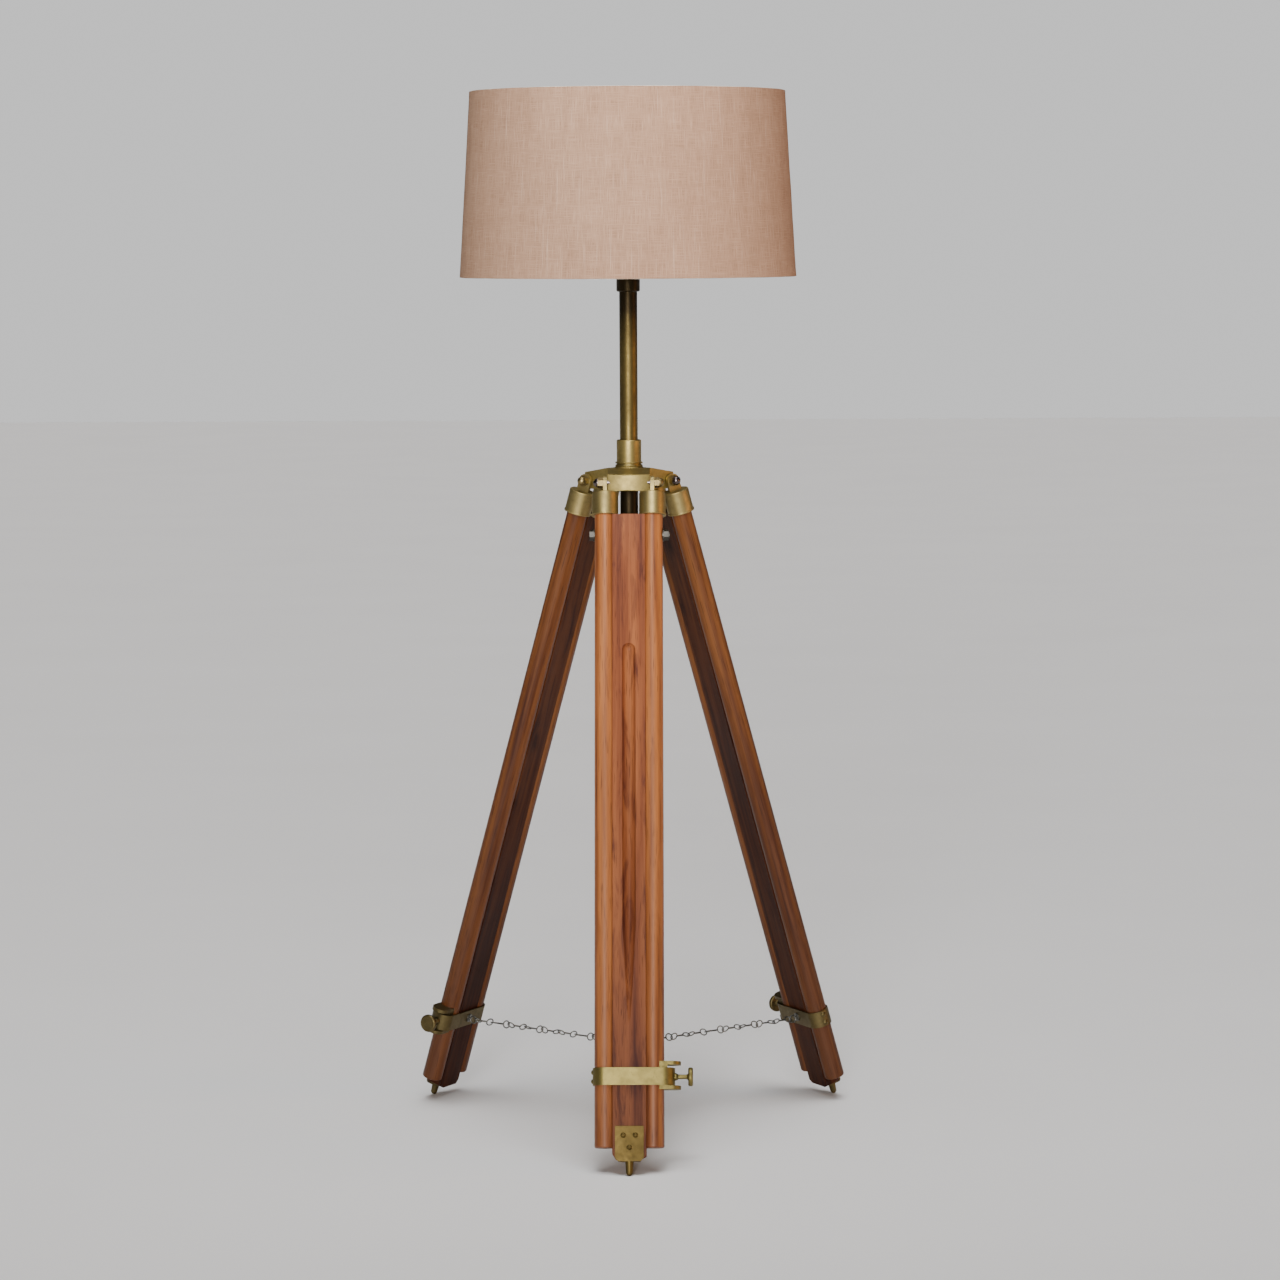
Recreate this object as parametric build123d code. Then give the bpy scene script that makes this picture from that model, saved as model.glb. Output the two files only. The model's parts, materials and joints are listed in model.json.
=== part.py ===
"""Tripod floor lamp, in millimetres, +Z up, standing on z = 0 with its axis on the Z axis.

Three telescoping wooden legs hinge on a brass head. A brass stem in the head carries the lampholder,
the bulb and a drum shade, and a chain between the legs stops them from spreading.
Each leg is drawn in its own frame: origin on its hinge axis, X along the hinge, Y towards the lamp's
axis, Z up along the leg.
"""

from build123d import *
import math
import os

# Driving dimensions
leg_turns = {"front": 0, "right": 120, "left": 240}
leg_tilt = 17.0
hinge_radius = 50.0
hinge_bolt_radius = 4.0
hinge_dome_radius = 6.2
hinge_hexagon = 7.4
hinge_spacer = 7.0
hinge_nut_height = 6.5
running_gap = 0.06
fit_gap = 0.05
side_gap = 0.35

rod_radius = 14.0
rod_offset = 32.0
rod_end = 896.0
board_width = 45.0
board_thickness = 25.0
board_start = 46.0
board_end = 911.0
board_gap = 0.35
flute_start = 223.0
flute_fade = 600.0
flute_end = 735.0
flute_width = 18.0
flute_depth = 6.5

ferrule_wall = 4.0
ferrule_start = 14.5
ferrule_end = 46.0
ferrule_lip = 0.8
tab_thickness = 5.0
tab_width = 18.5
cross_bolt_place = 73.0
cross_bolt_radius = 4.0
cross_bolt_head = 7.5
cross_washer_radius = 8.5
cross_washer = 1.5
cross_nut_height = 6.5
blind_cover = 3.0
notch_gap = 0.6

band_place = 803.0
band_height = 23.0
band_thickness = 2.0
band_gap = 0.3
band_overhang = 60.2
saddle_reach = 50.0
saddle_half = 12.0
ear_reach = 68.0
ear_thickness = 4.8
ear_low = 0.4
ear_high = 3.8
thumbscrew_radius = 3.0
thumbscrew_head_radius = 12.4
thumbscrew_head_width = 6.4
thumbscrew_end = 83.7
boss_radius = 5.2

shoe_width = 37.5
shoe_height = 43.0
shoe_thickness = 2.5
shoe_flange = 3.0
shoe_depth = 17.0
shoe_corner = 4.0
board_corner = 4.5
board_edge = 0.8
pin_root_radius = 5.5
pin_tip_radius = 4.5
pin_length = 18.7
pin_inset = 0.4
screw_radius = 1.75
screw_head_radius = 3.5
screw_head_height = 2.2
screw_length = 12.0

arm_half_width = 28.5
arm_reach = 57.0
arm_end_curve = 110.0
arm_height = 22.0
arm_slope_rise = 6.5
arm_edge = 1.2
collar_low_rise = 25.0
bead_radius = 1.3
collar_radius = 16.8
collar_top = 55.6
stem_radius = 12.25
stem_wall = 1.5
stem_length = 318.0
stem_drop = 49.0
cord_bore_radius = 3.75

coupling_radius = 16.0
coupling_height = 23.0
coupling_grip = 12.0
nipple_radius = 5.0
nipple_bore = 3.6
holder_radius = 19.8
holder_wall = 1.8
cup_height = 22.0
cup_foot_radius = 15.0
holder_shell_height = 42.0
contact_radius = 3.0
screw_shell_radius = 13.9
bulb_cap_radius = 13.2
bulb_radius = 30.0
bulb_wall = 1.0
filament_foot = 22.0
filament_length = 36.0
filament_circle = 5.4
filament_radius = 1.0
filament_disc_radius = 7.0
filament_disc = 1.5
filament_stem_radius = 3.2
shade_ring_radius = 27.0
shade_ring_height = 5.0

shade_bottom_radius = 228.5
shade_top_radius = 213.5
shade_height = 250.5
shade_drop = 45.0
fabric_thickness = 1.2
liner_thickness = 0.6
shade_wire_radius = 2.0

chain_links = 9
ring_side_links = 5
chain_wire = 0.85
chain_loop = 4.9
chain_shank = 1.15
chain_slack = 0.3
ring_radius = 8.9
ring_wire = 1.1
chain_sag = 6.0
eye_radius = 5.0
eye_wire = 1.0
eye_stem = 2.0
eye_washer = 1.5
eye_washer_radius = 6.0
eye_rivet_radius = 3.2
eye_standoff = 7.7

# Places that follow from them
tilt = math.radians(leg_tilt)
pin_axis_offset = board_thickness / 2 + shoe_thickness - pin_root_radius - pin_inset
leg_reach = board_end + shoe_flange + pin_length
ball_centre = leg_reach - pin_tip_radius
hinge_height = ball_centre * math.cos(tilt) - pin_axis_offset * math.sin(tilt) + pin_tip_radius
ferrule_radius = rod_radius + ferrule_wall
rod_start = ferrule_start + ferrule_wall
band_inner = max(rod_radius, board_thickness / 2) + band_gap
band_outer = band_inner + band_thickness
band_end_centre = band_overhang - band_outer
pin_reach = rod_offset + rod_radius - blind_cover
eye_offset = band_outer + eye_standoff
stem_low = hinge_height - stem_drop
stem_top = stem_low + stem_length
coupling_low = stem_top - coupling_grip
coupling_top = coupling_low + coupling_height
cup_top = coupling_top + cup_height
holder_top = cup_top + holder_shell_height
insulator_top = cup_top + 6.0
washer_low = cup_top + 20.0
washer_thickness = 1.2
shade_low = washer_low - shade_drop
shade_top = shade_low + shade_height
bulb_low = insulator_top + 6.0
bulb_cap_top = bulb_low + 27.0
bulb_centre = bulb_cap_top + 53.0
BASE = (Align.CENTER, Align.CENTER, Align.MIN)


def leg_frame(side):
    """Location of a leg's own frame in the lamp."""
    place = Pos(0, -hinge_radius, hinge_height)
    return Rot(0, 0, leg_turns[side]) * place * Rot(-leg_tilt, 0, 0)


def post(radius, low, high):
    """Cylinder on Z between two heights."""
    return Pos(0, 0, low) * Cylinder(radius, high - low, align=BASE)


def pipe(outer, inner, low, high):
    return post(outer, low, high) - post(inner, low, high)


def along_x(radius, low, high):
    """Cylinder on X between two places."""
    return Rot(0, 90, 0) * post(radius, low, high)


def block(x, y, z):
    """Box between three pairs of limits."""
    size = [limits[1] - limits[0] for limits in (x, y, z)]
    middle = [(limits[1] + limits[0]) / 2 for limits in (x, y, z)]
    return Pos(*middle) * Box(*size)


def hexagon_along_x(radius, low, high):
    outline = RegularPolygon(radius, 6)
    return Pos(low, 0, 0) * Rot(0, 90, 0) * extrude(outline, amount=high - low)


def slotted_screw(shank_radius, length, head_radius, head_height):
    """Round-head screw: the head's seat at the origin, its dome towards +Z."""
    ball = (head_radius**2 + head_height**2) / (2 * head_height)
    head = Pos(0, 0, head_height - ball) * Sphere(ball) & post(head_radius, 0, head_height)
    slot = block((-head_radius, head_radius), (-0.5, 0.5), (head_height * 0.5, head_height + 1))
    return head - slot + post(shank_radius, -length, 0.2)


def oblong(radius, left, right, low, high):
    """Prism with round ends on two axes parallel to Z."""
    ends = Pos(left, 0, 0) * post(radius, low, high) + Pos(right, 0, 0) * post(radius, low, high)
    return ends + block((left, right), (-radius, radius), (low, high))


# Head and stem
def tripod_head():
    """Casting with three arms, a flared collar and a bore for the stem."""
    under = hinge_height - arm_height / 2
    over = hinge_height + arm_height / 2
    crown = over + arm_slope_rise
    outline = Polyline(
        (0, under), (arm_edge - arm_reach, under), (-arm_reach, under + arm_edge),
        (-arm_reach, over - arm_edge), (arm_edge - arm_reach, over), (-collar_radius - 5, crown),
        (0, crown), close=True,
    )
    arm = extrude(Plane.YZ * make_face(outline), amount=arm_half_width, both=True)
    curve = Pos(0, arm_end_curve - arm_reach, 0) * post(arm_end_curve, under - 1, crown + 1)
    arm = arm & curve
    arm = arm - Pos(0, -hinge_radius, hinge_height) * along_x(
        hinge_bolt_radius + fit_gap, -arm_half_width - 1, arm_half_width + 1
    )
    collar_low = hinge_height + collar_low_rise
    rim = hinge_height + collar_top
    flare = collar_radius + 8
    profile = (
        Line((0, over), (flare, over))
        + Line((flare, over), (flare, crown - 1))
        + ThreePointArc(
            (flare, crown - 1), (collar_radius + 2.2, crown + 1.2), (collar_radius, collar_low)
        )
        + Line((collar_radius, collar_low), (collar_radius, rim - 1))
        + Line((collar_radius, rim - 1), (collar_radius - 1, rim))
        + Line((collar_radius - 1, rim), (0, rim))
        + Line((0, rim), (0, over))
    )
    head = revolve(Plane.XZ * make_face(profile), axis=Axis.Z)
    for bead in (collar_low - 0.5, collar_low - 4.5):
        head = head + Pos(0, 0, bead) * Torus(collar_radius + 0.6, bead_radius)
    for turn in leg_turns.values():
        head = head + Rot(0, 0, turn) * arm
    return head - post(stem_radius + fit_gap, under - 1, rim + 1)


def stem_tube():
    return pipe(stem_radius, stem_radius - stem_wall, stem_low, stem_top)


def stem_end_bush():
    """Insulating bush that lets the cord into the stem's lower end."""
    flange = post(stem_radius, stem_low - 2, stem_low)
    plug = post(stem_radius - stem_wall - fit_gap, stem_low, stem_low + 12)
    return flange + plug - post(cord_bore_radius, stem_low - 3, stem_low + 13)


def stem_coupling():
    """Cap on the stem's top end, bored for the nipple."""
    body = post(coupling_radius, coupling_low, coupling_top)
    body = chamfer(body.edges().filter_by(GeomType.CIRCLE), 1.5)
    body = body - post(stem_radius + fit_gap, coupling_low, stem_top)
    return body - post(nipple_radius + fit_gap, stem_top - 1, coupling_top + 1)


def hinge_bolts():
    """One bolt per hinge, with a domed head."""
    bolts = []
    for turn in leg_turns.values():
        place = Rot(0, 0, turn) * Pos(0, -hinge_radius, hinge_height)
        seat = rod_offset + tab_thickness / 2 + side_gap + hinge_spacer
        span = (-hinge_dome_radius, hinge_dome_radius)
        head = Sphere(hinge_dome_radius) & block((-hinge_dome_radius, 0), span, span)
        bolt = along_x(hinge_bolt_radius, -seat - 0.5, seat + 2) + Pos(-seat, 0, 0) * head
        bolts.append(place * bolt)
    return Compound(bolts)


def hinge_nuts():
    """On each bolt a hexagonal spacer under the head, a hexagonal nut and a cap nut."""
    nuts = []
    low = rod_offset + tab_thickness / 2 + side_gap
    bore = along_x(hinge_bolt_radius + fit_gap, -low - 8, low + 10)
    spacer = hexagon_along_x(hinge_hexagon, fit_gap - low - hinge_spacer, -low) - bore
    nut = hexagon_along_x(hinge_hexagon, low, low + hinge_nut_height) - bore
    span = (-hinge_dome_radius, hinge_dome_radius)
    cap = Sphere(hinge_dome_radius) & block((-0.4, hinge_dome_radius), span, span)
    cap = Pos(low + hinge_spacer, 0, 0) * cap
    cap = cap - along_x(hinge_bolt_radius + fit_gap, low, low + 9.2)
    for turn in leg_turns.values():
        place = Rot(0, 0, turn) * Pos(0, -hinge_radius, hinge_height)
        nuts += [place * spacer, place * nut, place * cap]
    return Compound(nuts)


# Lampholder, shade and bulb
def holder_nipple():
    return pipe(nipple_radius, nipple_bore, stem_top + 2, coupling_top + 8)


def holder_cup():
    """Base cup of the lampholder."""
    waist = coupling_top + cup_height * 0.6
    outline = Polyline(
        (0, coupling_top), (cup_foot_radius, coupling_top), (holder_radius + 0.8, waist),
        (holder_radius + 0.8, cup_top), (holder_radius + 0.8 - holder_wall, cup_top),
        (holder_radius + 0.8 - holder_wall, waist),
        (cup_foot_radius - holder_wall, coupling_top + holder_wall),
        (0, coupling_top + holder_wall), close=True,
    )
    cup = revolve(Plane.XZ * make_face(outline), axis=Axis.Z)
    return cup - post(nipple_radius + fit_gap, coupling_top - 1, coupling_top + 3)


def holder_shell():
    """Outer shell of the lampholder, which the shade rings run on."""
    return pipe(holder_radius, holder_radius - holder_wall, cup_top, holder_top)


def holder_insulator():
    return post(holder_radius - holder_wall - fit_gap, insulator_top - 10, insulator_top)


def holder_contact():
    """Sprung centre contact under the bulb's tip."""
    return post(contact_radius, insulator_top, bulb_low - 0.5)


def holder_screw_shell():
    """Threaded inner sleeve that the bulb screws into."""
    bore = bulb_cap_radius + running_gap
    return pipe(screw_shell_radius, bore, insulator_top, holder_top - 6)


def shade_rings():
    """Two threaded rings that clamp the shade's washer."""
    bore = holder_radius + fit_gap
    low = pipe(shade_ring_radius, bore, washer_low - shade_ring_height, washer_low)
    top = washer_low + washer_thickness
    return Compound([low, pipe(shade_ring_radius, bore, top, top + shade_ring_height)])


def cone_skin(outer_offset, thickness):
    """Conical skin, its outside outer_offset inside the shade's own surface."""
    def cone(offset):
        low, high = shade_bottom_radius - offset, shade_top_radius - offset
        return Pos(0, 0, shade_low) * Cone(low, high, shade_height, align=BASE)

    return cone(outer_offset) - cone(outer_offset + thickness)


def shade_fabric():
    return cone_skin(0, fabric_thickness)


def shade_liner():
    return cone_skin(fabric_thickness + fit_gap, liner_thickness)


def wire_ring(height):
    """Radius of the wire ring that fits inside the liner at a height."""
    lean = (shade_bottom_radius - shade_top_radius) * (height - shade_low) / shade_height
    inside = shade_bottom_radius - lean - fabric_thickness - liner_thickness - 2 * fit_gap
    return inside - shade_wire_radius - 0.3


def shade_frame():
    """Wire frame: a washer on three spokes to the lower ring, and the loose upper ring."""
    low = shade_low + shade_wire_radius + 1
    high = shade_top - shade_wire_radius - 1
    frame = Pos(0, 0, low) * Torus(wire_ring(low), shade_wire_radius)
    middle = washer_low + washer_thickness / 2
    washer = pipe(shade_ring_radius + 5, holder_radius + fit_gap, washer_low, washer_low + washer_thickness)
    frame = frame + washer
    start = shade_ring_radius + 2.5
    run, drop = wire_ring(low) - start, middle - low
    spoke = Pos(start, 0, middle) * Rot(0, 90 + math.degrees(math.atan2(drop, run)), 0)
    spoke = spoke * Cylinder(shade_wire_radius, math.hypot(run, drop), align=BASE)
    for turn in (30, 150, 270):
        frame = frame + Rot(0, 0, turn) * spoke
    upper = Pos(0, 0, high) * Torus(wire_ring(high), shade_wire_radius)
    return Compound([frame, upper])


def bulb_cap():
    """Metal screw cap with its centre contact."""
    tip = post(4, bulb_low, bulb_low + 2)
    taper = Pos(0, 0, bulb_low + 1) * Cone(5, bulb_cap_radius, 4, align=BASE)
    skirt = pipe(bulb_cap_radius, bulb_cap_radius - 0.7, bulb_low + 5, bulb_cap_top)
    return tip + taper + skirt


def bulb_glass():
    """Pear-shaped glass envelope, open into its cap."""
    def pear(inset):
        neck = bulb_cap_radius - 0.75 - inset
        shoulder = bulb_radius * 0.8 - inset
        low = bulb_cap_top - 8
        flare = bulb_centre - bulb_radius * 0.6 - bulb_cap_top
        shape = Pos(0, 0, bulb_centre) * Sphere(bulb_radius - inset)
        shape = shape + Pos(0, 0, bulb_cap_top) * Cone(neck, shoulder, flare, align=BASE)
        return shape + post(neck, low, bulb_cap_top + 0.5)

    return pear(0) - pear(bulb_wall)


def bulb_filaments():
    """Glass stem with a ring of filament sticks between two discs."""
    foot = bulb_cap_top + filament_foot
    head = foot + filament_length
    parts = post(filament_stem_radius, bulb_cap_top - 5, foot)
    for low in (foot, head):
        parts = parts + post(filament_disc_radius, low, low + filament_disc)
    for turn in range(0, 360, 60):
        parts = parts + Rot(0, 0, turn) * Pos(filament_circle, 0, 0) * post(filament_radius, foot, head + 1)
    return parts


# Legs, in the leg's own frame
def both_sides(shape):
    """A shape drawn on the X = 0 plane's axis, placed on each rod's axis."""
    return [Pos(side * rod_offset, 0, 0) * shape for side in (-1, 1)]


def leg_ferrules():
    """Caps on the rods' top ends, each with a hinge tab."""
    body = post(ferrule_radius, -ferrule_end, -ferrule_start)
    body = fillet(body.edges().filter_by(GeomType.CIRCLE).sort_by(Axis.Z)[-1], 1.2)
    lip = post(ferrule_radius + ferrule_lip, -ferrule_end, -ferrule_end + 3 * ferrule_lip)
    body = body + fillet(lip.edges().filter_by(GeomType.CIRCLE), ferrule_lip * 0.8)
    half = tab_thickness / 2
    tab = block((-half, half), (-tab_width / 2, tab_width / 2), (-ferrule_start - 1, 0))
    tab = tab + along_x(tab_width / 2, -half, half)
    ferrule = body + tab
    ferrule = ferrule - along_x(hinge_bolt_radius + running_gap, -half - 1, half + 1)
    return Compound(both_sides(ferrule - post(rod_radius + fit_gap, -ferrule_end, -rod_start)))


def leg_rods(side):
    """The two round outer rods, bored right through only for the front leg's bolt."""
    rod = post(rod_radius, -rod_end, -rod_start)
    rod = fillet(rod.edges().filter_by(GeomType.CIRCLE).sort_by(Axis.Z)[0], 2.2)
    bore = 60 if side == "front" else pin_reach + fit_gap
    hole = Pos(0, 0, -cross_bolt_place) * along_x(cross_bolt_radius + fit_gap, -bore, bore)
    rods = [side - hole for side in both_sides(rod)]
    for height in band_screw_heights():
        rods[0] = rods[0] - Pos(0, 0, height) * along_x(screw_radius + fit_gap, -60, pilot_end())
    return Compound(rods)


def band_screw_heights():
    return [-band_place - 6, -band_place + 6]


def pilot_end():
    """How far in along X the band's screws reach."""
    return screw_length - rod_offset - band_outer + 0.5


def cross_bolt(side):
    """Bolt across the rods' top ends, with its nut and two washers; a blind pin in a rear leg."""
    if side != "front":
        pin = chamfer(along_x(cross_bolt_radius, -pin_reach, pin_reach).edges(), 0.8)
        return Pos(0, 0, -cross_bolt_place) * pin
    seat = rod_offset + rod_radius + cross_washer
    bore = along_x(cross_bolt_radius + fit_gap, -70, 70)
    bolt = along_x(cross_bolt_radius, -seat, seat + 8)
    bolt = bolt + hexagon_along_x(cross_bolt_head, -seat - 5.3, -seat)
    nut = hexagon_along_x(cross_bolt_head, seat, seat + cross_nut_height) - bore
    left = along_x(cross_washer_radius, -seat, cross_washer - seat) - bore
    right = along_x(cross_washer_radius, seat - cross_washer, seat) - bore
    return Pos(0, 0, -cross_bolt_place) * Compound([bolt, nut, left, right])


def inner_board():
    """Sliding board, coved on both edges to run between the rods."""
    half = board_thickness / 2
    board = block((-board_width / 2, board_width / 2), (-half, half), (-board_end, -board_start))
    board = chamfer(board.edges().filter_by(Axis.Z), board_edge)
    board = chamfer(board.edges().filter_by(Axis.Y).group_by(Axis.Z)[0], board_corner * 1.6, board_corner)
    for cove in both_sides(post(rod_radius + board_gap, -board_end - 1, -board_start + 1)):
        board = board - cove
    gap = cross_bolt_radius + notch_gap
    board = board - block((-60, 60), (-gap, gap), (-cross_bolt_place, -board_start + 1))
    board = board - Pos(0, 0, -cross_bolt_place) * along_x(gap, -60, 60)
    round_radius = ((flute_width / 2) ** 2 + flute_depth**2) / (2 * flute_depth)
    centre = -half - round_radius + flute_depth
    flute = post(round_radius, -flute_fade, -flute_start - round_radius)
    flute = flute + Pos(0, 0, -flute_start - round_radius) * Sphere(round_radius)
    fade = Cone(round_radius - flute_depth, round_radius, flute_end - flute_fade, align=BASE)
    flute = flute + Pos(0, 0, -flute_end) * fade
    board = board - Pos(0, centre, 0) * flute
    for place in shoe_screw_places():
        board = board - place * post(screw_radius + fit_gap, -screw_length - 0.5, 1)
    return board


def shoe_screw_places():
    """Seats of the shoe's screws, their heads facing out of the leg."""
    top = shoe_height + shoe_flange - board_end - shoe_flange
    face = -board_thickness / 2 - shoe_thickness
    spots = [(-8, top - 12), (8, top - 12), (0, top - 28)]
    return [Pos(x, face, z) * Rot(90, 0, 0) for x, z in spots]


def foot_shoe():
    """Brass shoe on the board's foot: a face plate, a flange under the board and the ground pin."""
    half = shoe_width / 2
    face = -board_thickness / 2 - shoe_thickness
    low = -board_end - shoe_flange
    shoe = block((-half, half), (face, -board_thickness / 2), (low, -board_end + shoe_height))
    corners = shoe.edges().filter_by(Axis.Y).group_by(Axis.Z)
    shoe = chamfer(corners[0], shoe_corner)
    shoe = chamfer(shoe.edges().filter_by(Axis.Y).group_by(Axis.Z)[-1], 0.8)
    shoe = shoe + block((shoe_corner - half, half - shoe_corner), (face, face + shoe_depth), (low, -board_end))
    taper = Cone(pin_tip_radius, pin_root_radius, pin_length - pin_tip_radius, align=BASE)
    pin = Pos(0, 0, -ball_centre) * (taper + Sphere(pin_tip_radius))
    shoe = shoe + Pos(0, -pin_axis_offset, 0) * pin
    for place in shoe_screw_places():
        shoe = shoe - place * post(screw_radius + fit_gap, -shoe_thickness - 1, 1)
    return shoe


def foot_screws():
    screw = slotted_screw(screw_radius, screw_length, screw_head_radius, screw_head_height)
    return Compound([place * screw for place in shoe_screw_places()])


def boss_dome():
    """Domed boss around the thumbscrew's hole, on the band's outer end."""
    bore = thumbscrew_radius + running_gap
    rim = math.acos(bore / boss_radius)
    top = (bore, boss_radius * math.sin(rim))
    middle = (boss_radius * math.cos(rim / 2), boss_radius * math.sin(rim / 2))
    sides = Polyline(top, (bore, -0.6), (boss_radius, -0.6), (boss_radius, 0))
    outline = sides + ThreePointArc((boss_radius, 0), middle, top)
    dome = revolve(Plane.XZ * make_face(outline), axis=Axis.Z)
    return Pos(band_overhang, 0, 0) * Rot(0, 90, 0) * dome


def clamp_band():
    """Strap around both rods and the board, with a domed boss for the thumbscrew."""
    low, high = -band_height / 2, band_height / 2
    bore = along_x(thumbscrew_radius + running_gap, band_overhang - 5, band_overhang + boss_radius + 1)
    strap = oblong(band_outer, -rod_offset, band_end_centre, low, high)
    strap = strap - oblong(band_inner, -rod_offset, band_end_centre, low, high)
    for height in (-6, 6):
        hole = along_x(screw_radius + fit_gap, -rod_offset - band_outer - 1, -rod_offset)
        strap = strap - Pos(0, 0, height) * hole
    strap = strap - Rot(-90, 0, 0) * post(eye_stem + fit_gap, band_inner - 1, band_outer + 1)
    return Pos(0, 0, -band_place) * (strap - bore + boss_dome())


def clamp_saddle():
    """Saddle that the thumbscrew presses on the rod, with an ear above and one below the band."""
    low = -band_height / 2 - ear_low
    high = band_height / 2 + ear_high
    start = rod_offset + 6
    saddle = block((start, saddle_reach), (-saddle_half, saddle_half), (low - 1, high + 1))
    for bottom in (low - ear_thickness, high):
        ear = oblong(saddle_half, start, ear_reach - saddle_half, bottom, bottom + ear_thickness)
        saddle = saddle + ear
    rod = Pos(rod_offset, 0, 0) * post(rod_radius + 0.15, low - 20, high + 20)
    saddle = saddle - rod - block((-60, rod_offset + 7.3), (-20, 20), (low - 20, high + 20))
    return Pos(0, 0, -band_place) * saddle


def band_screws():
    """Two round-head screws that hold the band to one rod."""
    screw = slotted_screw(screw_radius, screw_length, screw_head_radius, screw_head_height)
    seat = -rod_offset - band_outer
    return Compound([Pos(seat, 0, height) * Rot(0, -90, 0) * screw for height in band_screw_heights()])


def chain_eye():
    """Riveted eye on the inner face of the band."""
    out = Rot(-90, 0, 0)
    shape = out * post(eye_stem, band_inner - 0.5, eye_offset - eye_radius)
    shape = shape + out * post(eye_rivet_radius, band_inner - 0.9, band_inner)
    shape = shape + out * post(eye_washer_radius, band_outer, band_outer + eye_washer)
    shape = shape + Pos(0, eye_offset, 0) * Rot(0, 90, 0) * Torus(eye_radius, eye_wire)
    return Pos(0, 0, -band_place) * shape


def thumbscrew():
    """Clamp screw with a flat round head."""
    head_low = thumbscrew_end - thumbscrew_head_width
    head = along_x(thumbscrew_head_radius, head_low, thumbscrew_end)
    head = fillet(head.edges().filter_by(GeomType.CIRCLE), 2.4)
    screw = head + along_x(thumbscrew_radius, saddle_reach + 0.4, head_low + 1)
    neck = Pos(head_low - 2, 0, 0) * Rot(0, 90, 0) * Cone(thumbscrew_radius, 5, 2.5, align=BASE)
    return Pos(0, 0, -band_place) * (screw + neck)


# Chain, in the plane through a leg and the lamp's axis: (distance from the axis, height)
def eye_place():
    """Centre of the band's eye when the legs are spread."""
    out = hinge_radius + band_place * math.sin(tilt) - eye_offset * math.cos(tilt)
    return out, hinge_height - band_place * math.cos(tilt) - eye_offset * math.sin(tilt)


def chain_ends():
    """Loop centres at the chain's two ends."""
    out, height = eye_place()
    first = ring_radius - ring_wire + chain_loop - chain_wire - chain_slack
    last = out - eye_radius + eye_wire + chain_wire + chain_slack - chain_loop
    return (first, height - chain_sag), (last, height)


def chain_lengths():
    """Distance between a link's loops, and from one link to the next, so that the chain fits."""
    (first, low), (last, high) = chain_ends()
    total = math.hypot(last - first, high - low)
    hook_up = 2 * (chain_loop - chain_wire) - chain_slack
    span = (total - (chain_links - 1) * hook_up) / chain_links
    return span, span + hook_up


def chain_link():
    """Figure-of-eight link on X: an upright loop, a shank and a flat loop."""
    span = chain_lengths()[0]
    shank = along_x(chain_shank, chain_loop - 0.4, span - chain_loop + 0.4)
    return Rot(90, 0, 0) * Torus(chain_loop, chain_wire) + shank + Pos(span, 0, 0) * Torus(
        chain_loop, chain_wire
    )


def chain_run(first_link, last_link):
    """Links first_link to last_link - 1 of one leg's chain, counted from the ring."""
    (first, low), (last, high) = chain_ends()
    slope = math.degrees(math.atan2(high - low, last - first))
    pitch = chain_lengths()[1]
    link = chain_link()
    row = [Pos(number * pitch, 0, 0) * link for number in range(first_link, last_link)]
    return Rot(0, 0, -90) * Pos(first, 0, low) * Rot(0, -slope, 0) * Compound(row)


def chain_ring():
    return Pos(0, 0, chain_ends()[0][1]) * Torus(ring_radius, ring_wire)


def all_nodes():
    """Every node by name, placed in the lamp."""
    nodes = {
        "tripod_head": tripod_head(),
        "stem_tube": stem_tube(),
        "stem_end_bush": stem_end_bush(),
        "stem_coupling": stem_coupling(),
        "hinge_bolts": hinge_bolts(),
        "hinge_nuts": hinge_nuts(),
        "holder_nipple": holder_nipple(),
        "holder_cup": holder_cup(),
        "holder_shell": holder_shell(),
        "holder_insulator": holder_insulator(),
        "holder_contact": holder_contact(),
        "holder_screw_shell": holder_screw_shell(),
        "shade_rings": shade_rings(),
        "shade_frame": shade_frame(),
        "shade_liner": shade_liner(),
        "shade_fabric": shade_fabric(),
        "bulb_cap": bulb_cap(),
        "bulb_glass": bulb_glass(),
        "bulb_filaments": bulb_filaments(),
        "chain_ring": chain_ring(),
    }
    leg_parts = {
        "leg_ferrules": leg_ferrules(),
        "clamp_band": clamp_band(),
        "clamp_saddle": clamp_saddle(),
        "band_screws": band_screws(),
        "chain_eye": chain_eye(),
        "inner_board": inner_board(),
        "foot_shoe": foot_shoe(),
        "foot_screws": foot_screws(),
        "thumbscrew": thumbscrew(),
    }
    chain_parts = {
        "ring_chain": chain_run(0, ring_side_links),
        "eye_chain": chain_run(ring_side_links, chain_links),
    }
    for side, turn in leg_turns.items():
        nodes[f"{side}_leg_rods"] = leg_frame(side) * leg_rods(side)
        nodes[f"{side}_cross_bolt"] = leg_frame(side) * cross_bolt(side)
        for name, shape in leg_parts.items():
            nodes[f"{side}_{name}"] = leg_frame(side) * shape
        for name, shape in chain_parts.items():
            nodes[f"{side}_{name}"] = Rot(0, 0, turn) * shape
    return nodes


def main():
    os.makedirs("parts", exist_ok=True)
    for name, shape in all_nodes().items():
        export_step(shape, f"parts/{name}.step")


if __name__ == "__main__":
    main()
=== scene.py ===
"""Tripod floor lamp: finishes for every part, the linen drum, the jack chains, camera and studio."""
import json
import math

import bpy
from mathutils import Matrix, Vector


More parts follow.
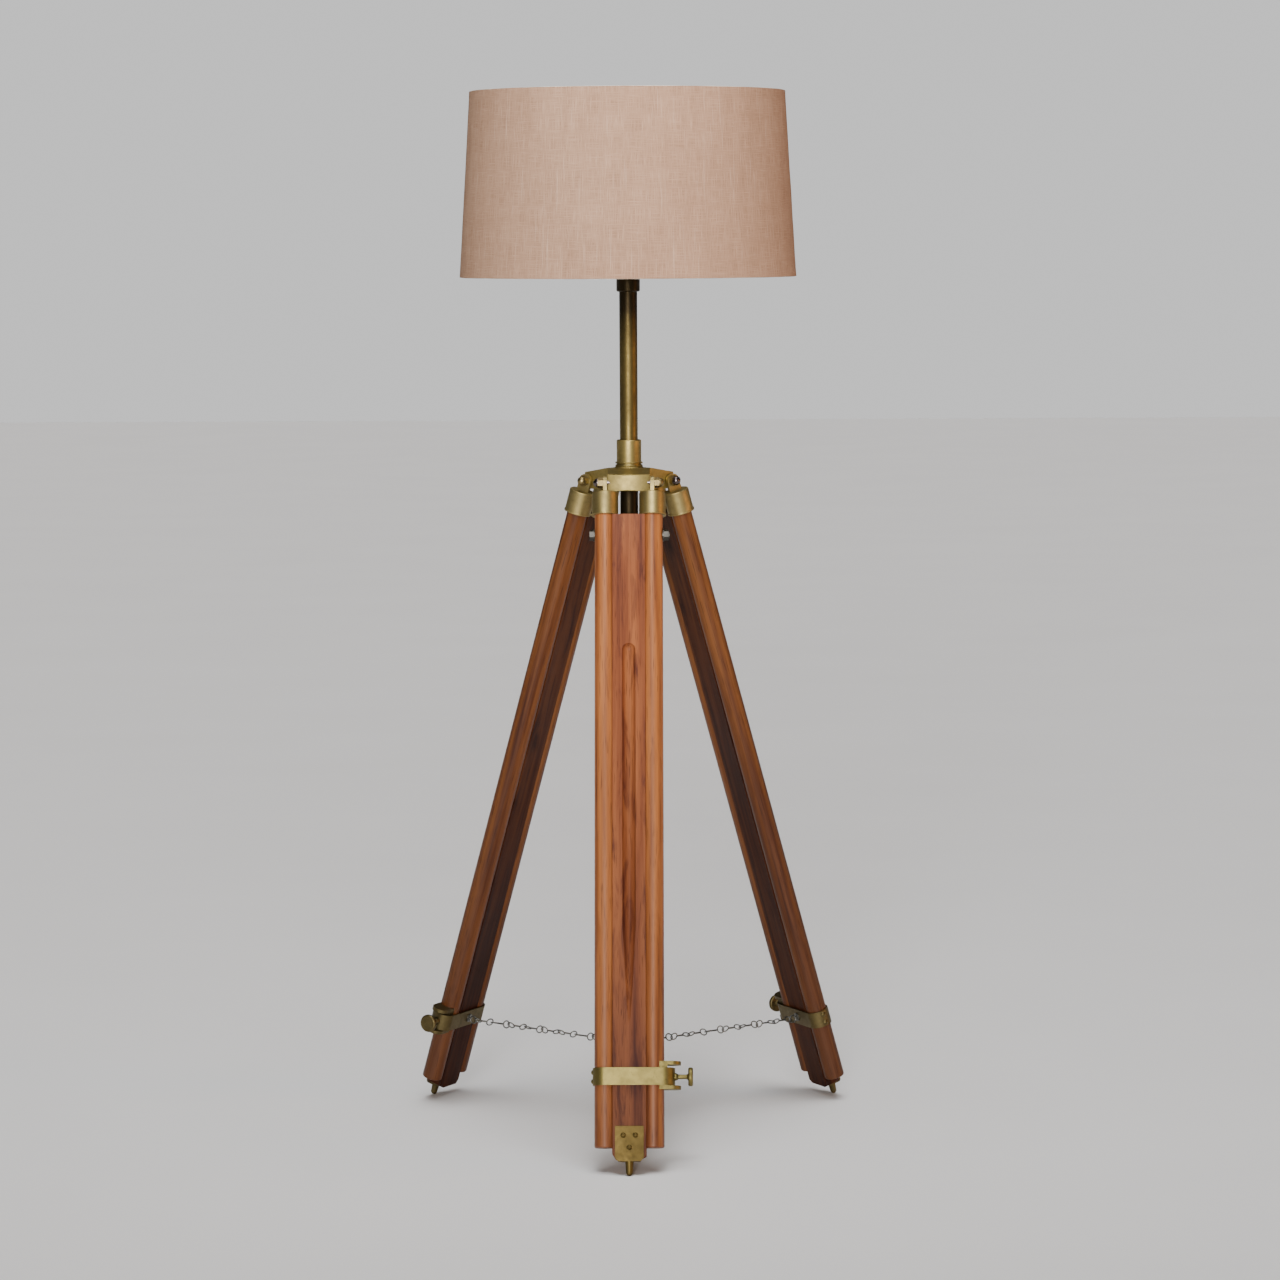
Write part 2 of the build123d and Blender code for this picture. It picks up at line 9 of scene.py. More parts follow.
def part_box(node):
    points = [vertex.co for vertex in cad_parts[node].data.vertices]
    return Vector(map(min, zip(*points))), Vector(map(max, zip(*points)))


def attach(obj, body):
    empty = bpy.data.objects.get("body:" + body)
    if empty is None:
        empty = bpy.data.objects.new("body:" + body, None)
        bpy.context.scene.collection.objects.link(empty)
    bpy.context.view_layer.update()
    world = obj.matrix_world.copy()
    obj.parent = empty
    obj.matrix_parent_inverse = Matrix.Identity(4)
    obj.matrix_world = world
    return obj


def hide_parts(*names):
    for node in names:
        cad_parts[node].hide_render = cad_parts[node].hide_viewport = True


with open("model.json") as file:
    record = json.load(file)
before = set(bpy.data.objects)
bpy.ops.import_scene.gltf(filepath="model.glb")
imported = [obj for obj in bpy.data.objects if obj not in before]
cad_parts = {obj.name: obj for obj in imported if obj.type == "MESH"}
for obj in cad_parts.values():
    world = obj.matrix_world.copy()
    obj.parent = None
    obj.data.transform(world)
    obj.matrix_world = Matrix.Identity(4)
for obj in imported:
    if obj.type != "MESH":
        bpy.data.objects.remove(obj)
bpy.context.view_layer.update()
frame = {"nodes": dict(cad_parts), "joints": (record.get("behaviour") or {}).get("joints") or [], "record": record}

nodes = frame["nodes"]
joints = {joint["name"]: joint for joint in frame["joints"]}
body_of = {
    node: body
    for body, members in frame["record"]["behaviour"]["bodies"].items()
    for node in members
}
LEGS = ("front", "right", "left")


# Node helpers
def scaled(colour, factor):
    return tuple(part * factor for part in colour)


class Finish:
    """A material's node tree, with short calls for the nodes that the finishes use."""

    def __init__(self, name, roughness=0.5, metallic=0.0):
        self.material = bpy.data.materials.new(name)
        self.material.use_nodes = True
        self.tree = self.material.node_tree
        self.shader = self.tree.nodes["Principled BSDF"]
        self.shader.inputs["Roughness"].default_value = roughness
        self.shader.inputs["Metallic"].default_value = metallic

    def node(self, kind, **values):
        made = self.tree.nodes.new(kind)
        for key, value in values.items():
            setattr(made, key, value)
        return made

    def link(self, source, target):
        self.tree.links.new(source, target)

    def place(self, scale=(1, 1, 1), rotation=(0, 0, 0), shift=(0, 0, 0)):
        """Object coordinates, shifted and turned, then stretched."""
        coordinates = self.node("ShaderNodeTexCoord")
        turn = self.node("ShaderNodeMapping")
        turn.inputs["Rotation"].default_value = rotation
        turn.inputs["Location"].default_value = shift
        self.link(coordinates.outputs["Object"], turn.inputs["Vector"])
        return self.stretch(turn.outputs["Vector"], scale)

    def stretch(self, vector, scale):
        mapping = self.node("ShaderNodeMapping")
        mapping.inputs["Scale"].default_value = scale
        self.link(vector, mapping.inputs["Vector"])
        return mapping.outputs["Vector"]

    def noise(self, vector, scale=1.0, detail=2.0, roughness=0.5, distortion=0.0):
        made = self.node("ShaderNodeTexNoise")
        made.inputs["Scale"].default_value = scale
        made.inputs["Detail"].default_value = detail
        made.inputs["Roughness"].default_value = roughness
        made.inputs["Distortion"].default_value = distortion
        self.link(vector, made.inputs["Vector"])
        return made.outputs["Fac"]

    def ramp(self, factor, stops):
        """Colours by position, as (position, colour) pairs."""
        made = self.node("ShaderNodeValToRGB")
        elements = made.color_ramp.elements
        while len(elements) < len(stops):
            elements.new(0.5)
        for element, (position, colour) in zip(elements, stops):
            element.position = position
            element.color = (*colour, 1)
        self.link(factor, made.inputs["Fac"])
        return made.outputs["Color"]

    def level(self, factor, low, high, start=0.0, end=1.0):
        """A number that goes from low to high as factor goes from start to end."""
        made = self.node("ShaderNodeMapRange")
        for key, value in (("From Min", start), ("From Max", end), ("To Min", low), ("To Max", high)):
            made.inputs[key].default_value = value
        self.link(factor, made.inputs["Value"])
        return made.outputs["Result"]

    def mix(self, factor, first, second, blend="MIX"):
        made = self.node("ShaderNodeMix", data_type="RGBA", blend_type=blend)
        sockets = (made.inputs[0], made.inputs[6], made.inputs[7])
        for value, socket in zip((factor, first, second), sockets):
            if isinstance(value, (int, float)):
                socket.default_value = value
            elif isinstance(value, tuple):
                socket.default_value = (*value, 1)
            else:
                self.link(value, socket)
        return made.outputs[2]

    def maths(self, operation, first, second):
        made = self.node("ShaderNodeMath", operation=operation)
        for value, socket in zip((first, second), made.inputs):
            if isinstance(value, (int, float)):
                socket.default_value = value
            else:
                self.link(value, socket)
        return made.outputs[0]

    def weighted(self, *layers):
        """The sum of factors, given as (factor, share) pairs."""
        parts = [self.maths("MULTIPLY", factor, share) for factor, share in layers]
        total = parts[0]
        for part in parts[1:]:
            total = self.maths("ADD", total, part)
        return total

    def split(self, vector):
        """The three parts of a vector."""
        made = self.node("ShaderNodeSeparateXYZ")
        self.link(vector, made.inputs[0])
        return made.outputs

    def bump(self, height, distance, strength):
        made = self.node("ShaderNodeBump")
        made.inputs["Distance"].default_value = distance
        made.inputs["Strength"].default_value = strength
        self.link(height, made.inputs["Height"])
        return made.outputs["Normal"]

    def set(self, **sockets):
        """Links or sets the shader's sockets, their names written with underscores."""
        for name, value in sockets.items():
            socket = self.shader.inputs[name.replace("_", " ")]
            if isinstance(value, (int, float)):
                socket.default_value = value
            elif isinstance(value, tuple):
                socket.default_value = (*value, 1)
            else:
                self.link(value, socket)
        return self.material


# Wood
ROD_TONES = ((0.400, 0.142, 0.040), (0.270, 0.086, 0.022), (0.110, 0.028, 0.010))
BOARD_TONES = ((0.300, 0.098, 0.033), (0.190, 0.054, 0.019), (0.062, 0.015, 0.010))
# painted shade: the rear legs' rods and boards are the front leg's wood, darkened where less light reaches them
ROD_PAINTED_SHADE = {"front": 1.0, "right": 0.42, "left": 0.42}
BOARD_PAINTED_SHADE = {"front": 1.0, "right": 0.26, "left": 0.26}
ROD_RINGS = 30
BOARD_RINGS = 22
# how far down a leg from its hinge the wood begins to darken, and where it is darkest
SHADE_START = 0.27
SHADE_END = 0.93


def leg_place(side):
    """Rotation and shift that bring a leg's axis onto Z, for its grain."""
    hinge = joints[f"{side}_leg_fold"]
    down = Vector(joints[f"{side}_board_slide"]["axis"])
    across = Vector(hinge["axis"])
    turn = Matrix((across, (-down).cross(across), -down))
    shift = -(turn @ Vector(hinge["pos_m"]))
    return turn.to_euler("XYZ"), shift


def growth_rings(wood, along, ring_scale):
    waves = wood.node(
        "ShaderNodeTexWave", wave_type="RINGS", rings_direction="Z", wave_profile="SIN",
    )
    settings = {"Scale": ring_scale, "Distortion": 7.0, "Detail": 3.0, "Detail Scale": 1.1}
    for socket, value in settings.items():
        waves.inputs[socket].default_value = value
    wood.link(wood.stretch(along, (1, 1, 0.07)), waves.inputs["Vector"])
    return waves.outputs["Fac"]


def varnished_wood(name, side, tones, ring_shift, ring_scale, lower_shade, gloss, smoke_depth):
    """Straight-grained hardwood with rings, smoky streaks, fibres, pores and a satin lacquer.

    lower_shade is how dark its lower end goes, and smoke_depth how dark the streaks are.
    """
    light, middle, dark = tones
    rotation, shift = leg_place(side)
    wood = Finish(name)
    along = wood.place(rotation=rotation, shift=shift + Vector(ring_shift))
    sway = wood.noise(wood.stretch(along, (11, 11, 2.2)), detail=2)
    fibre = wood.noise(wood.stretch(along, (430, 430, 11)), detail=3, roughness=0.6)
    streak = wood.noise(wood.stretch(along, (85, 85, 2.4)), detail=4, roughness=0.62)
    smoke_streaks_and_painted_shadow = wood.noise(wood.stretch(along, (70, 70, 11)), detail=4, roughness=0.58, distortion=0.6)
    speck = wood.noise(wood.stretch(along, (800, 800, 30)), detail=1)
    pore = wood.level(speck, 1, 0, 0.31, 0.38)
    tone = wood.maths("MULTIPLY", growth_rings(wood, along, ring_scale), 0.22)
    for layer, share in ((streak, 1.15), (fibre, 0.30), (sway, 0.45)):
        centred = wood.maths("SUBTRACT", layer, 0.5)
        tone = wood.maths("ADD", tone, wood.maths("MULTIPLY", centred, share))
    colour = wood.ramp(wood.maths("ADD", tone, 0.42), ((0.18, dark), (0.46, middle), (0.80, light)))
    smoky = wood.level(smoke_streaks_and_painted_shadow, 0, smoke_depth, 0.52, 0.70)
    colour = wood.mix(smoky, colour, scaled(dark, 1.1))
    colour = wood.mix(wood.maths("MULTIPLY", pore, 0.5), colour, scaled(dark, 0.4))
    place = wood.split(along)["Z"]
    darker = wood.level(place, 1.0, 0.0, ring_shift[2] - SHADE_END, ring_shift[2] - SHADE_START)
    shade = (lower_shade, lower_shade * 0.94, lower_shade)
    colour = wood.mix(darker, colour, wood.mix(1.0, colour, shade, blend="MULTIPLY"))
    grain = wood.weighted((fibre, 0.5), (pore, -0.7))
    handling = wood.noise(wood.stretch(along, (14, 14, 5)), detail=4)
    return wood.set(
        Base_Color=colour,
        Roughness=wood.level(handling, 0.40, 0.56, 0.3, 0.7),
        Normal=wood.bump(grain, 0.00018, 0.55),
        Coat_Weight=0.26 * gloss,
        Coat_Roughness=0.26,
        Specular_IOR_Level=0.32 * gloss,
    )


# Metals
TARNISH_PATCH = 18


def aged_metal(name, bright, tarnish, roughness, amount=0.55):
    """Lacquered metal with cloudy tarnish, fine scratches and small dark pits."""
    metal = Finish(name, metallic=1.0)
    place = metal.place()
    cloud = metal.noise(place, scale=TARNISH_PATCH, detail=5, roughness=0.62, distortion=0.4)
    fine = metal.noise(place, scale=TARNISH_PATCH * 9, detail=4, roughness=0.6)
    scratch = metal.noise(metal.stretch(place, (260, 260, 260)), detail=3, roughness=0.7)
    pits = metal.level(metal.noise(place, scale=520, detail=2), 1, 0, 0.22, 0.34)
    stain = metal.level(metal.weighted((cloud, 0.7), (fine, 0.3)), 0, 1, 0.36, 0.66)
    colour = metal.mix(metal.maths("MULTIPLY", stain, amount), bright, tarnish)
    colour = metal.mix(metal.maths("MULTIPLY", pits, 0.6), colour, scaled(tarnish, 0.4))
    dull = metal.level(stain, roughness - 0.07, roughness + 0.12)
    rough = metal.maths("ADD", dull, metal.maths("MULTIPLY", scratch, 0.06))
    height = metal.maths("SUBTRACT", metal.maths("MULTIPLY", scratch, 0.4), pits)
    metal.set(Base_Color=colour, Roughness=rough, Normal=metal.bump(height, 0.00006, 0.6))
    return metal


def paint_shadow_bands(metal, low, high):
    """Paints shadow on a finish below and above two heights: the head's shadow under the low one and the shade's
    cast shadow above the high one.
    """
    height = metal.split(metal.place())["Z"]
    above = metal.level(height, 0, 1, high - 0.035, high + 0.02)
    below = metal.level(height, 1, 0, low - 0.01, low + 0.01)
    # painted shadow, from the head below and from the shade above
    smoke_streaks_and_painted_shadow = metal.maths("MULTIPLY", metal.maths("MAXIMUM", above, below), 0.92)
    colour = metal.shader.inputs["Base Color"].links[0].from_socket
    return metal.set(Base_Color=metal.mix(smoke_streaks_and_painted_shadow, colour, (0.018, 0.013, 0.008)))


# Shade
DRUM_RADIUS = 0.2214


def around_the_stem(finish):
    """Vector on the drum's surface: metres round it, metres up it, and zero."""
    place = finish.split(finish.place())
    angle = finish.maths("ARCTAN2", place["X"], finish.maths("MULTIPLY", place["Y"], -1))
    joined = finish.node("ShaderNodeCombineXYZ")
    finish.link(finish.maths("MULTIPLY", angle, DRUM_RADIUS), joined.inputs[0])
    finish.link(place["Z"], joined.inputs[1])
    return joined.outputs[0]


def slub_linen():
    """Loose plain-weave linen with slubs both ways, thicker along the warp."""
    linen = Finish("slub_linen", roughness=0.93)
    cloth = around_the_stem(linen)
    warp_drift = linen.noise(linen.stretch(cloth, (60, 9, 1)), detail=2)
    weft_drift = linen.noise(linen.stretch(cloth, (9, 60, 1)), detail=2)
    warp = linen.noise(linen.stretch(cloth, (950, 42, 1)), detail=3, roughness=0.65)
    weft = linen.noise(linen.stretch(cloth, (36, 950, 1)), detail=3, roughness=0.65)
    thread = linen.maths("MAXIMUM", warp, linen.maths("MULTIPLY", weft, 0.96))
    thick_thread = linen.noise(linen.stretch(cloth, (330, 12, 1)), detail=1)
    slub = linen.level(thick_thread, 0, 1, 0.62, 0.78)
    dark_fibre = linen.noise(linen.stretch(cloth, (420, 190, 1)), detail=1)
    fleck = linen.level(dark_fibre, 0, 1, 0.70, 0.80)
    wash = linen.maths("SUBTRACT", linen.noise(linen.stretch(cloth, (7, 5, 1)), detail=3), 0.5)
    tone = linen.weighted((thread, 0.72), (warp_drift, 0.14), (weft_drift, 0.07), (wash, 0.08))
    colour = linen.ramp(tone, (
        (0.34, (0.238, 0.133, 0.081)),
        (0.56, (0.394, 0.242, 0.159)),
        (0.78, (0.486, 0.327, 0.231)),
    ))
    colour = linen.mix(linen.maths("MULTIPLY", slub, 0.25), colour, (0.62, 0.45, 0.34))
    colour = linen.mix(linen.maths("MULTIPLY", fleck, 0.45), colour, (0.20, 0.12, 0.075))
    height = linen.maths("ADD", thread, linen.maths("MULTIPLY", slub, 0.6))
    return linen.set(
        Base_Color=colour,
        Normal=linen.bump(height, 0.0006, 0.6),
        Specular_IOR_Level=0.12,
    )


def shade_lining():
    lining = Finish("shade_lining", roughness=0.62)
    place = around_the_stem(lining)
    fibre = lining.noise(lining.stretch(place, (900, 900, 1)), detail=3)
    cloud = lining.noise(lining.stretch(place, (14, 9, 1)), detail=4)
    colour = lining.ramp(cloud, ((0.3, (0.70, 0.65, 0.57)), (0.7, (0.80, 0.77, 0.70))))
    return lining.set(Base_Color=colour, Normal=lining.bump(fibre, 0.0002, 0.3))


# Small finishes
def plain(name, low, high, roughness, scale=60):
    """Finish with a slight mottle and a fine surface texture."""
    made = Finish(name)
    place = made.place()
    cloud = made.noise(place, scale=scale, detail=4)
    fine = made.noise(place, scale=scale * 14, detail=2)
    return made.set(
        Base_Color=made.ramp(cloud, ((0.32, low), (0.68, high))),
        Roughness=made.level(fine, roughness - 0.06, roughness + 0.08),
        Normal=made.bump(fine, 0.0001, 0.4),
    )


def clear_glass():
    glass = Finish("clear_bulb_glass", roughness=0.03)
    dust = glass.noise(glass.place(), scale=45, detail=4)
    return glass.set(
        Base_Color=glass.ramp(dust, ((0.3, (0.93, 0.94, 0.94)), (0.7, (0.99, 0.99, 0.99)))),
        Roughness=glass.level(dust, 0.02, 0.09, 0.45, 0.75),
        Transmission_Weight=1.0,
        IOR=1.45,
    )


def give(material, *names):
    """Puts one finish on CAD nodes."""
    for name in names:
        slots = nodes[name].data.materials
        slots.clear()
        slots.append(material)


# Camera, floor and lights
SUNS = (
    # name, degrees round to the right, degrees up, strength, spread, colour
    ("key", -5, 7, 3.2, 16, (1.0, 0.985, 0.975)),
    ("overhead", 10, 82, 2.3, 36, (1.0, 1.0, 1.0)),
    ("warm_side", 76, 8, 0.90, 30, (1.0, 0.46, 0.15)),
)
SUN_DISTANCE = 6
SOFT_ROOM = (1.0, 0.98, 0.96)
SOFT_ROOM_STRENGTH = 0.05
BACKDROP_STRENGTH = 0.80


def in_scene(name, data):
    """A new object in the scene for a camera or light."""
    made = bpy.data.objects.new(name, data)
    bpy.context.scene.collection.objects.link(made)
    return made


def front_camera():
    data = bpy.data.cameras.new("camera")
    data.lens = 111.4
    data.sensor_width = 36
    camera = in_scene("camera", data)
    camera.location = (0.068, -5.408, 1.235)
    camera.rotation_euler = [math.radians(turn) for turn in (90 - 5.965, 0.274, 0.545)]
    bpy.context.scene.camera = camera


def studio_floor():
    bpy.ops.object.select_all(action="DESELECT")
    bpy.ops.mesh.primitive_plane_add(size=40, location=(0, 0, 0))
    floor = bpy.context.active_object
    floor.name = "studio_floor"
    grey = plain("pale_floor", (0.86, 0.86, 0.86), (0.88, 0.88, 0.88), 0.7, scale=2)
    floor.data.materials.append(grey)


def soft_room_and_backdrop():
    """A dim room that lights the lamp, and a pale backdrop that only the camera sees."""
    world = bpy.data.worlds.new("studio")
    bpy.context.scene.world = world
    world.use_nodes = True
    tree = world.node_tree
    room = tree.nodes["Background"]
    room.inputs["Color"].default_value = (*SOFT_ROOM, 1)
    room.inputs["Strength"].default_value = SOFT_ROOM_STRENGTH
    backdrop = tree.nodes.new("ShaderNodeBackground")
    backdrop.inputs["Color"].default_value = (1.0, 1.0, 1.0, 1)
    backdrop.inputs["Strength"].default_value = BACKDROP_STRENGTH
    seen = tree.nodes.new("ShaderNodeLightPath")
    either = tree.nodes.new("ShaderNodeMixShader")
    tree.links.new(seen.outputs["Is Camera Ray"], either.inputs["Fac"])
    tree.links.new(room.outputs[0], either.inputs[1])
    tree.links.new(backdrop.outputs[0], either.inputs[2])
    tree.links.new(either.outputs[0], tree.nodes["World Output"].inputs["Surface"])


def sun(name, around, above, strength, spread, colour):
    data = bpy.data.lights.new(name, "SUN")
    data.energy = strength
    data.angle = math.radians(spread)
    data.color = colour
    turn, rise = math.radians(around), math.radians(above)
    flat = math.cos(rise)
    out = Vector((math.sin(turn) * flat, -math.cos(turn) * flat, math.sin(rise)))
    light = in_scene(name, data)
    light.location = out * SUN_DISTANCE
    light.rotation_euler = out.to_track_quat("Z", "Y").to_euler()


def shade_lamp():
    """Soft box close in front of the shade."""
    data = bpy.data.lights.new("shade_lamp", "AREA")
    data.energy = 11.0
    data.size = 0.35
    light = in_scene("shade_lamp", data)
    light.location = (-0.06, -1.05, 1.68)
    light.rotation_euler = (math.radians(85), 0, math.radians(-3))


# Linen drum
def select_edges(mesh_object, wanted):
    """Selects only the edges for which wanted(first end, second end) is true."""
    bpy.ops.object.mode_set(mode="EDIT")
    bpy.ops.mesh.select_mode(type="EDGE")
    bpy.ops.mesh.select_all(action="DESELECT")
    bpy.ops.object.mode_set(mode="OBJECT")
    mesh = mesh_object.data
    for edge in mesh.edges:
        ends = [mesh.vertices[corner].co for corner in edge.vertices]
        edge.select = wanted(*ends)
    bpy.ops.object.mode_set(mode="EDIT")


def apply_all(piece):
    for modifier in list(piece.modifiers):
        bpy.ops.object.modifier_apply(modifier=modifier.name)


CLOTH = 0.0005
PROUD = 0.0001
COLUMNS = 720
ROW_CUTS = 24
# each step of the turned edge: inward, and up or down the drum
HEM_STEPS = (
    (-0.0013, -0.0003), (-0.0020, 0.0002), (-0.0034, 0.0010), (-0.0010, 0.0040), (-0.0002, 0.0080),
)
# cloth this much inside the bottom radius is turned under, and stays where it is
HEM_REACH = 0.021
LAP_HALF_ANGLE = 0.030
LAP_STEP_ANGLE = 0.004
LAP_RISE = 0.0006
ROLL_RISE = 0.0005
ROLL_MIDDLE = 0.003
ROLL_WIDTH = 0.0045


def raise_lap_and_rolls(skin, low, high, bottom_radius):
    """Lifts the cloth where its ends lap at the back, and rounds it over the two wire rings."""
    for vertex in skin.data.vertices:
        spot = vertex.co
        radius = math.hypot(spot.x, spot.y)
        if radius < bottom_radius - HEM_REACH:
            continue
        turn = math.atan2(spot.x, spot.y)
        lap = LAP_RISE * max(0.0, min(1.0, (LAP_HALF_ANGLE - abs(turn)) / LAP_STEP_ANGLE))
        ends = min(spot.z - low, high - spot.z)
        roll = ROLL_RISE * max(0.0, 1 - abs(ends - ROLL_MIDDLE) / ROLL_WIDTH)
        scale = (radius + lap + roll) / radius
        spot.x *= scale
        spot.y *= scale


def linen_skin():
    """Linen over the lining, its ends lapped at the back and its edges turned over the rings."""
    low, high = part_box("shade_fabric")
    bottom, top = low[2], high[2]
    corners = [vertex.co for vertex in nodes["shade_fabric"].data.vertices]
    top_radius = max(math.hypot(spot.x, spot.y) for spot in corners if spot.z > top - CLOTH)
    bottom_radius = high[0]
    bpy.ops.object.select_all(action="DESELECT")
    bpy.ops.mesh.primitive_cone_add(
        vertices=COLUMNS, radius1=bottom_radius + PROUD, radius2=top_radius + PROUD,
        depth=top - bottom - 2 * CLOTH, end_fill_type="NOTHING",
        location=(0, 0, (bottom + top) / 2),
    )
    skin = bpy.context.active_object
    skin.name = "linen_skin"
    bpy.ops.object.transform_apply(location=True, rotation=False, scale=False)
    select_edges(skin, lambda a, b: abs(a.z - b.z) > 0.1)
    bpy.ops.mesh.subdivide(number_cuts=ROW_CUTS)

    for rim, radius, inward in ((bottom, bottom_radius, 1), (top, top_radius, -1)):
        select_edges(skin, lambda a, b: max(abs(a.z - rim), abs(b.z - rim)) < 0.001)
        for shrink, climb in HEM_STEPS:
            bpy.ops.mesh.extrude_region_move()
            scale = (radius + shrink) / radius
            bpy.ops.transform.resize(value=(scale, scale, 1))
            bpy.ops.transform.translate(value=(0, 0, inward * climb))
            radius += shrink

    bpy.ops.object.mode_set(mode="OBJECT")
    raise_lap_and_rolls(skin, bottom, top, bottom_radius)

    ripple = bpy.data.textures.new("cloth_ripple", "CLOUDS")
    ripple.noise_scale = 0.045
    ripple.noise_depth = 2
    push = skin.modifiers.new("ripple", "DISPLACE")
    push.texture = ripple
    push.strength = 0.0007
    push.mid_level = 0.5
    push.texture_coords = "LOCAL"
    wall = skin.modifiers.new("wall", "SOLIDIFY")
    wall.thickness = CLOTH
    wall.offset = -1
    apply_all(skin)
    bpy.ops.object.mode_set(mode="EDIT")
    bpy.ops.mesh.select_all(action="SELECT")
    bpy.ops.mesh.remove_doubles(threshold=0.00001)
    bpy.ops.mesh.normals_make_consistent(inside=False)
    bpy.ops.object.mode_set(mode="OBJECT")
    bpy.ops.object.shade_smooth_by_angle(angle=math.radians(50))
    skin.data.materials.append(slub_linen())
    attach(skin, "lamp_head")
    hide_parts("shade_fabric")


# Jack chains
CHAIN_TURNS = {"ring_chain": (38, 62, 20, 47, 70), "eye_chain": (30, 55, 12, 40)}


def link_islands(mesh):
    """Lists of vertices, one for each loose link, from the lamp's axis outwards."""
    home = list(range(len(mesh.vertices)))

    def root(vertex):
        while home[vertex] != vertex:
            home[vertex] = home[home[vertex]]
            vertex = home[vertex]
        return vertex

    for edge in mesh.edges:
        first, second = (root(corner) for corner in edge.vertices)
        home[second] = first
    islands = {}
    for vertex in mesh.vertices:
        islands.setdefault(root(vertex.index), []).append(vertex)
    return sorted(islands.values(), key=lambda island: island[0].co.x**2 + island[0].co.y**2)


def slack_chain(name, body, turns):
    """Chain whose links have each turned by some degrees on its line, as slack links do."""
    bpy.ops.object.select_all(action="DESELECT")
    chain = nodes[name].copy()
    chain.data = nodes[name].data.copy()
    chain.name = f"{name}_links"
    bpy.context.scene.collection.objects.link(chain)
    bpy.context.view_layer.objects.active = chain
    chain.select_set(True)
    bpy.ops.object.mode_set(mode="EDIT")
    bpy.ops.mesh.select_all(action="SELECT")
    bpy.ops.mesh.remove_doubles(threshold=0.000001)
    bpy.ops.mesh.normals_make_consistent(inside=False)
    bpy.ops.object.mode_set(mode="OBJECT")
    islands = link_islands(chain.data)
    middles = [sum((vertex.co for vertex in island), Vector()) / len(island) for island in islands]
    line = (middles[-1] - middles[0]).normalized()
    for island, middle, turn in zip(islands, middles, turns):
        spin = Matrix.Rotation(math.radians(turn), 3, line)
        for vertex in island:
            vertex.co = middle + spin @ (vertex.co - middle)
    bpy.ops.object.shade_smooth_by_angle(angle=math.radians(50))
    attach(chain, body)
    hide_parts(name)


# The lamp's finishes
def head_and_stem(antique):
    stem = aged_metal("stem_brass", (0.155, 0.112, 0.036), (0.058, 0.042, 0.016), 0.40, amount=0.7)
    head_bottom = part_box("tripod_head")[0][2]
    stem_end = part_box("stem_tube")[1][2]
    # painted shadow on the stem, under the head and beneath the shade
    paint_shadow_bands(stem, head_bottom + 0.004, stem_end - 0.055)
    give(antique, "tripod_head")
    give(stem.material, "stem_tube", "stem_coupling")
    nuts = aged_metal("bolt_brass", (0.300, 0.225, 0.095), (0.090, 0.065, 0.030), 0.36)
    give(nuts.material, "hinge_nuts")
    chrome = aged_metal("dark_chrome", (0.16, 0.13, 0.125), (0.06, 0.045, 0.045), 0.17, amount=0.6)
    give(chrome.material, "hinge_bolts")
    give(plain("black_bush", (0.02, 0.02, 0.02), (0.035, 0.035, 0.035), 0.5), "stem_end_bush")


def lampholder_and_bulb(antique, zinc):
    worn = aged_metal("worn_brass", (0.66, 0.52, 0.25), (0.26, 0.19, 0.09), 0.3)
    aluminium = aged_metal("cap_aluminium", (0.72, 0.72, 0.72), (0.5, 0.5, 0.5), 0.3)
    ceramic = plain("glazed_ceramic", (0.80, 0.78, 0.72), (0.86, 0.84, 0.79), 0.18)
    coating = plain("filament_coating", (0.75, 0.50, 0.16), (0.85, 0.62, 0.22), 0.4)
    give(antique, "shade_rings", "holder_cup", "holder_shell")
    give(worn.material, "holder_screw_shell", "holder_contact")
    give(zinc, "holder_nipple")
    give(ceramic, "holder_insulator")
    give(aluminium.material, "bulb_cap")
    give(clear_glass(), "bulb_glass")
    give(coating, "bulb_filaments")


def shade():
    wire = plain("white_wire_coat", (0.74, 0.72, 0.68), (0.80, 0.79, 0.75), 0.4, scale=300)
    give(wire, "shade_frame")
    give(shade_lining(), "shade_liner")
    linen_skin()


